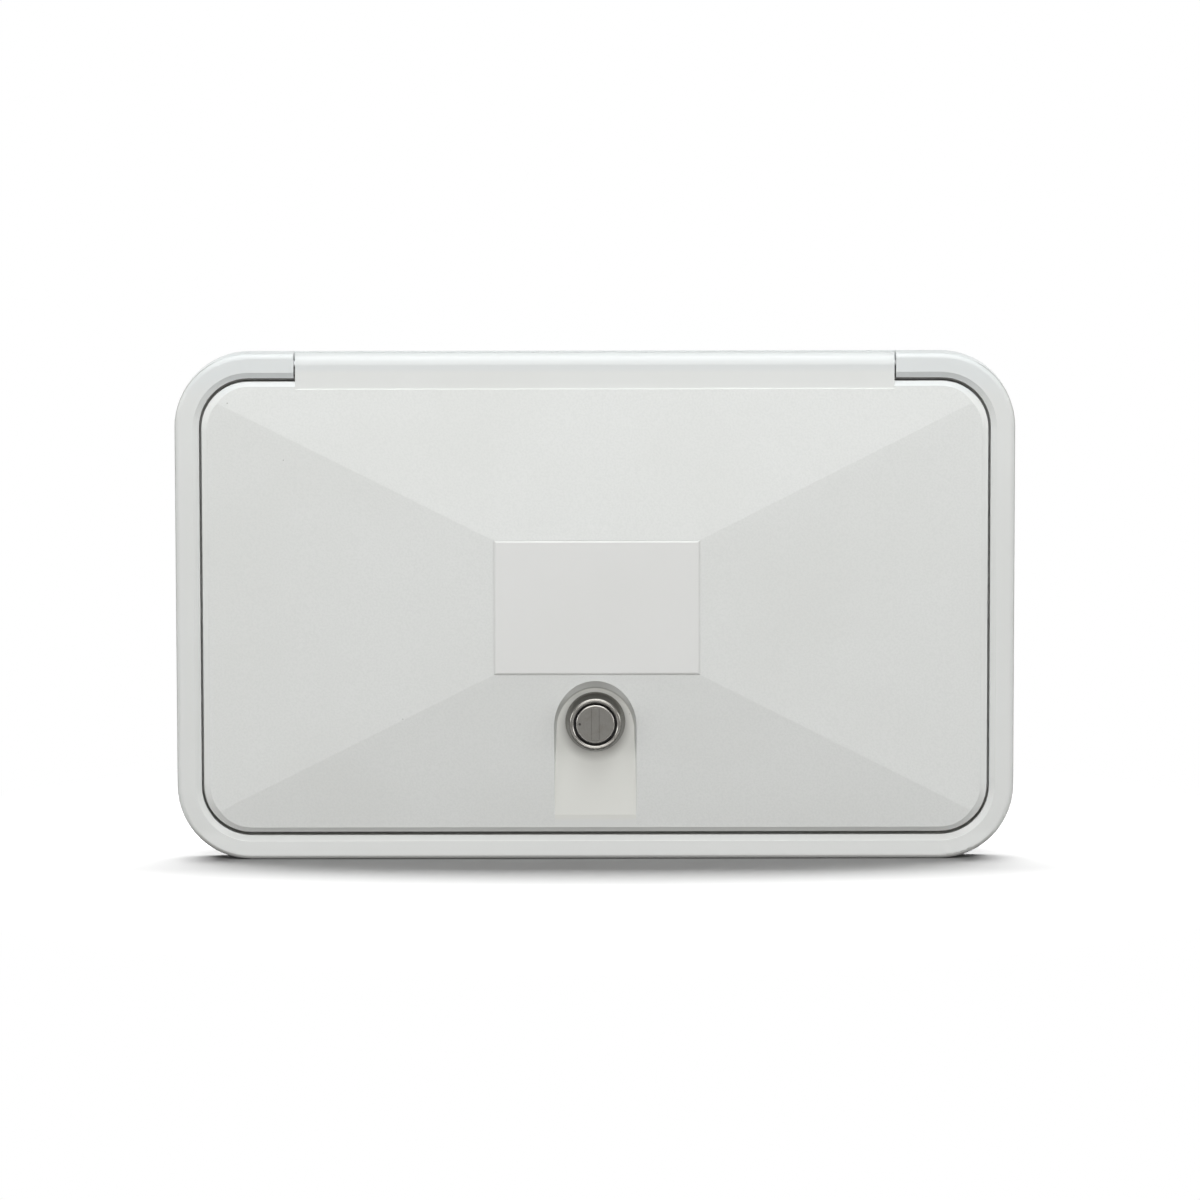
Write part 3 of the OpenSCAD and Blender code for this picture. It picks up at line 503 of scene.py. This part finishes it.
def speckled(tree, place, y, colour):
    """Colour with the dirt specks of the front."""
    front = calc(tree, "LESS_THAN", y, FRONT_Y + 2 * MM)
    for x, z, radius in SPECKS:
        from_speck = from_line(tree, place, x * MM, z * MM)
        spot = fading(tree, from_speck, start=0.5 * radius * MM, end=radius * MM, high=0.6)
        colour = darkened(tree, colour, product(tree, spot, front))
    return colour


def door_plastic():
    """Fine grain on the four facets; the rim, the hinge section and the recess are smooth."""
    material, tree, place, bsdf = shader("door_plastic_finish")
    x, y, z = axes(tree, place)
    beside = calc(tree, "ABSOLUTE", x)
    edge = beyond_edge(tree, place, DOOR_W, DOOR_H, DOOR_R)
    on_rim = between(tree, edge, start=-3.0 * MM, end=-2.5 * MM)
    hinge = product(tree, calc(tree, "LESS_THAN", beside, HINGE_W / 2),
                    calc(tree, "GREATER_THAN", z, HINGE_EDGE_Z))
    recess = recess_outline(tree, beside, z)
    smooth = calc(tree, "MAXIMUM", hinge, recess)
    grained = product(tree, rest_of(tree, on_rim), rest_of(tree, smooth))
    fine = clouds(tree, place, scale=950, detail=2, roughness=0.6)

    colour = flow_colour(tree, place, DOOR_WHITE)
    # Painted warm light on the floor and walls of the lock recess
    colour = tint(tree, in_recess(tree, beside, y, z), colour, RECESS_PAINTED_LIGHT)
    # Painted cool shade on the upper rim and the hinge section's crown
    colour = tint(tree, brow_shade_share(tree, z, on_rim, hinge), colour, BROW_PAINTED_SHADE)
    hollows = fading(tree, fine, start=0.35, end=0.62, high=0.35)
    colour = tint(tree, product(tree, hollows, grained), colour, GRAIN_SHADE)
    # Painted shade on the skirt, deep in the joint
    colour = darkened(tree, colour, skirt_shade(tree, edge, y, z))
    # Painted shade round the lock and under the recess's top wall
    colour = darkened(tree, colour, lock_recess_shade(tree, place, y, z, recess))
    feed(tree, bsdf.inputs["Base Color"], speckled(tree, place, y, colour))

    grain_roughness, grain_strength, least_strength = 0.08, 0.5, 0.03
    satin = sheen(tree, place, smoothest=0.38, roughest=0.45)
    rougher = calc(tree, "MULTIPLY", grained, grain_roughness)
    feed(tree, bsdf.inputs["Roughness"], calc(tree, "ADD", satin, rougher))
    strength = calc(tree, "ADD", calc(tree, "MULTIPLY", grained, grain_strength), least_strength)
    feed(tree, bsdf.inputs["Normal"], relief(tree, fine, depth=0.08 * MM, strength=strength))
    return material


def plate_plastic():
    """Centre plate: smooth and a little glossier than the facets round it."""
    material, tree, _, bsdf, colour = plastic_base(
        "plate_plastic_finish", PLATE_WHITE, roughness=0.36, grain=1400, grain_strength=0.05)
    feed(tree, bsdf.inputs["Base Color"], colour)
    return material


def liner_plastic():
    """Inner panel: an even matt grain, a little duller than the outer skin."""
    material, tree, place, bsdf, colour = plastic_base(
        "liner_plastic_finish", LINER_WHITE, roughness=0.46, grain=700, grain_strength=0.6)
    mottle = clouds(tree, place, scale=700, detail=2)
    feed(tree, bsdf.inputs["Base Color"], tint(tree, mottle, colour, LINER_SHADE))
    return material


# Finishes of the seal and the metals
def seal_rubber():
    """Black rubber with a patchy film of dust."""
    material, tree, place, bsdf = shader("seal_rubber_finish")
    dusting = clouds(tree, place, scale=90, detail=4, roughness=0.6)
    dusty = between(tree, dusting, start=0.45, end=0.8)
    feed(tree, bsdf.inputs["Base Color"], tint(tree, dusty, *RUBBER))
    roughness = between(tree, dusting, start=0.3, end=0.8, low=0.55, high=0.8)
    feed(tree, bsdf.inputs["Roughness"], roughness)
    skin = clouds(tree, place, scale=1500, detail=2)
    feed(tree, bsdf.inputs["Normal"], relief(tree, skin, depth=0.03 * MM, strength=0.6))
    return material


def ring_shade_share(tree, radius, y):
    """Painted shade: one in the ring between the bezel and the barrel, from a little below the lip."""
    outside = between(tree, radius, start=BARREL_R - 0.04 * MM, end=BARREL_R + 0.02 * MM)
    within = fading(tree, radius, start=RING_R - 0.02 * MM, end=RING_R + 0.04 * MM)
    deep = between(tree, y, start=LIP_TOP_Y + 1.3 * MM, end=LIP_TOP_Y + 1.9 * MM)
    return product(tree, outside, within, deep)


def dot_and_seam_shade(tree, place, x, y, z):
    """Share of painted shade in the index dot's dimple and in the seams beside the key shutter."""
    from_dot = from_line(tree, place, -DOT_X, LOCK_Z)
    near_face = calc(tree, "LESS_THAN", y, BARREL_FACE_Y + 1.0 * MM)
    dot = product(tree, near_face, fading(tree, from_dot, start=DOT_R, end=DOT_R + 0.1 * MM, high=0.9))
    beside = calc(tree, "ABSOLUTE", x)
    off_seam = calc(tree, "ABSOLUTE", calc(tree, "SUBTRACT", beside, SHUTTER_W / 2))
    along = calc(tree, "ABSOLUTE", calc(tree, "SUBTRACT", z, LOCK_Z))
    seam = product(tree, fading(tree, off_seam, start=0.05 * MM, end=0.22 * MM, high=0.45),
                   calc(tree, "LESS_THAN", along, SHUTTER_L / 2),
                   fading(tree, y, start=BARREL_FACE_Y + 0.3 * MM, end=BARREL_FACE_Y + 0.4 * MM))
    return calc(tree, "MAXIMUM", dot, seam)


def highlight_share(tree, radius, z):
    """Painted highlight, lighter metal: one on the barrel's edge, and on the lip's inside but for its
    foot.
    """
    outside = between(tree, radius, start=9.45 * MM, end=9.65 * MM)
    within = fading(tree, radius, start=11.4 * MM, end=11.7 * MM)
    upper = between(tree, z, start=LOCK_Z - 6 * MM, end=LOCK_Z - 1 * MM)
    on_barrel = calc(tree, "LESS_THAN", radius, BARREL_R + 0.1 * MM)
    return product(tree, outside, within, calc(tree, "MAXIMUM", upper, on_barrel))


def lock_nickel():
    """Satin nickel, with painted shade, black and not metallic, in the ring between the bezel and the
    barrel.
    """
    material, tree, place, bsdf = shader("lock_nickel_finish")
    x, y, z = axes(tree, place)
    radius = from_line(tree, place, 0, LOCK_Z)
    ring = ring_shade_share(tree, radius, y)
    tarnish = clouds(tree, place, scale=240, detail=4, roughness=0.6)
    colour = tint(tree, between(tree, tarnish, start=0.35, end=0.75), *NICKEL)
    # Painted highlight on the barrel's edge and the lip's inside
    colour = tint(tree, highlight_share(tree, radius, z), colour, NICKEL_PAINTED_HIGHLIGHT)
    # Painted shade in the index dot and the seams beside the key shutter
    colour = tint(tree, dot_and_seam_shade(tree, place, x, y, z), colour, DOT_AND_SEAM_SHADE)
    # Painted shade: the ring round the barrel is black and not metallic
    feed(tree, bsdf.inputs["Base Color"], tint(tree, ring, colour, RING_PAINTED_SHADE))
    feed(tree, bsdf.inputs["Metallic"], rest_of(tree, ring))
    satin = between(tree, tarnish, start=0.3, end=0.75, low=0.17, high=0.23)
    ring_roughness = 0.4
    duller = calc(tree, "MULTIPLY", ring, ring_roughness)
    feed(tree, bsdf.inputs["Roughness"], calc(tree, "ADD", satin, duller))
    brushed = clouds(tree, place, scale=2600, detail=2, roughness=0.6, stretch=(1, 1, 0.12))
    feed(tree, bsdf.inputs["Normal"], relief(tree, brushed, depth=0.01 * MM, strength=0.35))
    return material


def zinc_steel():
    """Zinced steel with a faint spangle."""
    material, tree, place, bsdf = shader("zinc_steel_finish")
    spangle = clouds(tree, place, scale=120, detail=4, roughness=0.65)
    feed(tree, bsdf.inputs["Base Color"],
         tint(tree, between(tree, spangle, start=0.3, end=0.75), *ZINC))
    bsdf.inputs["Metallic"].default_value = 1.0
    feed(tree, bsdf.inputs["Roughness"],
         between(tree, spangle, start=0.3, end=0.75, low=0.28, high=0.45))
    rolled = clouds(tree, place, scale=1500, detail=2, roughness=0.6, stretch=(0.1, 1, 1))
    feed(tree, bsdf.inputs["Normal"], relief(tree, rolled, depth=0.02 * MM, strength=0.3))
    return material


# Edges
def round_edges(name, width):
    """Rounds a node's sharp edges, which mouldings and turned parts always have a little."""
    node = nodes[name]
    weld = node.modifiers.new("weld", "WELD")
    weld.merge_threshold = WELD_REACH
    bevel = node.modifiers.new("edge_round", "BEVEL")
    bevel.width = width
    bevel.segments = 3
    bevel.limit_method = "ANGLE"
    bevel.angle_limit = SHARP_OVER
    bevel.use_clamp_overlap = True
    normals = node.modifiers.new("edge_shading", "WEIGHTED_NORMAL")
    normals.keep_sharp = True


# Modelling helpers
def deselect():
    bpy.ops.object.select_all(action="DESELECT")


def settle():
    """Puts the selected piece's place, turn and scale into its mesh."""
    bpy.ops.object.transform_apply(location=True, rotation=True, scale=True)


def pick(piece):
    """Selects one piece alone and makes it the active one."""
    deselect()
    piece.select_set(True)
    bpy.context.view_layer.objects.active = piece


def edit_all(piece):
    """Opens a piece in edit mode, selected all over."""
    pick(piece)
    bpy.ops.object.mode_set(mode="EDIT")
    bpy.ops.mesh.select_all(action="SELECT")


def end_edit():
    bpy.ops.object.mode_set(mode="OBJECT")


def finished(piece, name, finish_name, body):
    """Names a modelled piece, puts its origin at the model's, shades it and lets it ride on a body."""
    pick(piece)
    settle()
    bpy.ops.object.shade_smooth_by_angle(angle=SMOOTH_UNDER)
    piece.name = name
    piece.data.materials.clear()
    piece.data.materials.append(finish[finish_name])
    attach(piece, body)
    return piece


def apply(piece, modifier):
    bpy.context.view_layer.objects.active = piece
    bpy.ops.object.modifier_apply(modifier=modifier.name)


def soften(piece, width, segments=3):
    """Rounds a piece's sharp edges."""
    bevel = piece.modifiers.new("soft_edge", "BEVEL")
    bevel.width = width
    bevel.segments = segments
    bevel.limit_method = "ANGLE"
    bevel.angle_limit = SMOOTH_UNDER
    apply(piece, bevel)


def bar(radius, length, middle, turn=(0, 0, 0), sides=32):
    """Round bar, upright unless it is turned."""
    deselect()
    bpy.ops.mesh.primitive_cylinder_add(
        vertices=sides, radius=radius, depth=length, location=middle, rotation=turn)
    settle()
    return bpy.context.object


def block(size, middle):
    deselect()
    bpy.ops.mesh.primitive_cube_add(size=1, location=middle, scale=size)
    settle()
    return bpy.context.object


def join(pieces):
    deselect()
    for piece in pieces:
        piece.select_set(True)
    bpy.context.view_layer.objects.active = pieces[0]
    bpy.ops.object.join()
    return pieces[0]


def cut(piece, tool):
    """Takes the tool's shape out of a piece, and the tool away."""
    gap = piece.modifiers.new("cut", "BOOLEAN")
    gap.operation = "DIFFERENCE"
    gap.solver = "EXACT"
    gap.object = tool
    apply(piece, gap)
    bpy.data.objects.remove(tool, do_unlink=True)


def thread(x, z, root, crest, start_y, turns, pitch):
    """Helical ridge round a line into the wall: a triangle, screwed forward turn by turn."""
    deselect()
    bpy.ops.mesh.primitive_circle_add(
        vertices=3, radius=1, fill_type="NGON", rotation=(0, 0, math.radians(-90)))
    settle()
    ridge = bpy.context.object
    triangle_tall, triangle_half = 1.5, math.sin(math.radians(60))
    foot_share = 0.42
    half_foot = foot_share * pitch
    tall = (crest - root) / triangle_tall
    edit_all(ridge)
    bpy.ops.transform.resize(
        value=(tall, half_foot / triangle_half, 1), center_override=(0, 0, 0))
    bpy.ops.transform.translate(value=(root + 0.5 * tall, 0, 0))
    end_edit()
    screw = ridge.modifiers.new("screw", "SCREW")
    screw.axis = "Y"
    screw.angle = 2 * math.pi
    screw.screw_offset = pitch
    screw.iterations = turns
    screw.steps = 36
    screw.use_merge_vertices = True
    screw.use_smooth_shade = False
    apply(ridge, screw)
    edit_all(ridge)
    bpy.ops.mesh.normals_make_consistent(inside=False)
    bpy.ops.transform.translate(value=(x, start_y + half_foot, z))
    end_edit()
    return ridge


# Small pieces
def round_head_front(head):
    """Domes a screw's head by a bevel round the face that looks into the vehicle."""
    pick(head)
    bpy.ops.object.mode_set(mode="EDIT")
    bpy.ops.mesh.select_all(action="DESELECT")
    end_edit()
    for face in head.data.polygons:
        face.select = face.normal.y > 0.9
    bpy.ops.object.mode_set(mode="EDIT")
    bpy.ops.mesh.bevel(offset=SCREW_HEAD_ROUND, segments=4, profile=0.6)
    end_edit()


def pan_screw(x, z, seat_y, name, body):
    """Cross-head self-tapping screw, driven from inside the vehicle towards the door's skin."""
    head = bar(SCREW_HEAD_R, SCREW_HEAD_H, (x, seat_y + SCREW_HEAD_H / 2, z), ALONG_Y)
    round_head_front(head)
    for wide, high in ((CROSS_L, CROSS_W), (CROSS_W, CROSS_L)):
        cut(head, block((wide, 2 * CROSS_DEPTH, high), (x, seat_y + SCREW_HEAD_H, z)))
    shank_middle = (x, seat_y - SCREW_SHANK_L / 2, z)
    shank = bar(SCREW_SHANK_R, SCREW_SHANK_L, shank_middle, ALONG_Y, sides=20)
    turns = thread(x, z, SCREW_ROOT_R, SCREW_CREST_R, seat_y - SCREW_THREAD_L,
                   SCREW_TURNS, SCREW_PITCH)
    return finished(join([head, shank, turns]), name, "steel", body)


def liner_screws():
    """Eight screws that hold the liner, each stopped at its own turn."""
    places = [(right * x, up * BOSS_Z) for x in BOSS_X for right in (-1, 1) for up in (-1, 1)]
    first_x, first_z = places[0]
    first = pan_screw(first_x, first_z, FIELD_Y, "liner_screw_1", "door")
    for count, (x, z) in enumerate(places[1:], 2):
        twin = first.copy()
        twin.data = first.data.copy()
        bpy.context.scene.collection.objects.link(twin)
        edit_all(twin)
        bpy.ops.transform.translate(value=(x - first_x, 0, z - first_z))
        bpy.ops.transform.rotate(
            value=SCREW_STOP * count, orient_axis="Y", center_override=(x, FIELD_Y, z))
        end_edit()
        twin.name = "liner_screw_%d" % count
        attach(twin, "door")


def strike_rivets():
    """Two semi-tubular rivets that hold the strike on the collar, with their rolled ends outside."""
    head_z = STRIKE_TOP_Z + RIVET_HEAD_GAP + RIVET_HEAD_H / 2
    shank_z = (STRIKE_TOP_Z + COLLAR_UNDER_Z) / 2
    tail_z = COLLAR_UNDER_Z - RIVET_TAIL_H / 2
    for side, name in ((-1, "strike_rivet_left"), (1, "strike_rivet_right")):
        x = side * STRIKE_HOLE_X
        head = bar(RIVET_HEAD_R, RIVET_HEAD_H, (x, STRIKE_HOLE_Y, head_z))
        soften(head, RIVET_HEAD_ROUND, segments=4)
        shank = bar(RIVET_SHANK_R, RIVET_SHANK_L, (x, STRIKE_HOLE_Y, shank_z))
        tail = bar(RIVET_TAIL_R, RIVET_TAIL_H, (x, STRIKE_HOLE_Y, tail_z))
        bore_middle = (x, STRIKE_HOLE_Y, COLLAR_UNDER_Z - RIVET_BORE_DROP)
        cut(tail, bar(RIVET_BORE_R, RIVET_BORE_L, bore_middle))
        soften(tail, RIVET_TAIL_ROUND)
        finished(join([head, shank, tail]), name, "steel", "frame")


def sleeve_thread():
    """Thread on the lock's sleeve, cut off at its two flats."""
    turns = thread(0, LOCK_Z, SLEEVE_ROOT_R, SLEEVE_CREST_R, SLEEVE_THREAD_Y,
                   SLEEVE_TURNS, SLEEVE_PITCH)
    for side in (-1, 1):
        edit_all(turns)
        bpy.ops.mesh.bisect(plane_co=(side * SLEEVE_FLAT, 0, 0), plane_no=(side, 0, 0),
                            clear_outer=True, use_fill=True)
        end_edit()
    finished(turns, "sleeve_thread", "lock_metal", "door")


def lip_pip():
    """Small raised mark on the lower slope of the bezel's lip, no higher than its crown."""
    deselect()
    bpy.ops.mesh.primitive_cone_add(vertices=3, radius1=PIP_FOOT_R, radius2=PIP_TOP_R, depth=PIP_H,
                                    location=(0, PIP_Y, PIP_Z), rotation=ALONG_Y)
    settle()
    pip = bpy.context.object
    soften(pip, PIP_ROUND)
    finished(pip, "lip_pip", "lock_metal", "door")


bpy.context.scene.view_settings.view_transform = "Standard"
floor = build_floor()
build_surroundings()
build_camera()

finish = {
    "frame_plastic": frame_plastic(),
    "door_plastic": door_plastic(),
    "plate_plastic": plate_plastic(),
    "liner_plastic": liner_plastic(),
    "seal_rubber": seal_rubber(),
    "lock_metal": lock_nickel(),
    "steel": zinc_steel(),
}
for node in nodes.values():
    for held in node.material_slots:
        held.material = finish[held.material.name]

for name, width in EDGE_ROUND.items():
    round_edges(name, width * MM)

liner_screws()
strike_rivets()
sleeve_thread()
lip_pip()
build_lamps()

bpy.context.view_layer.update()
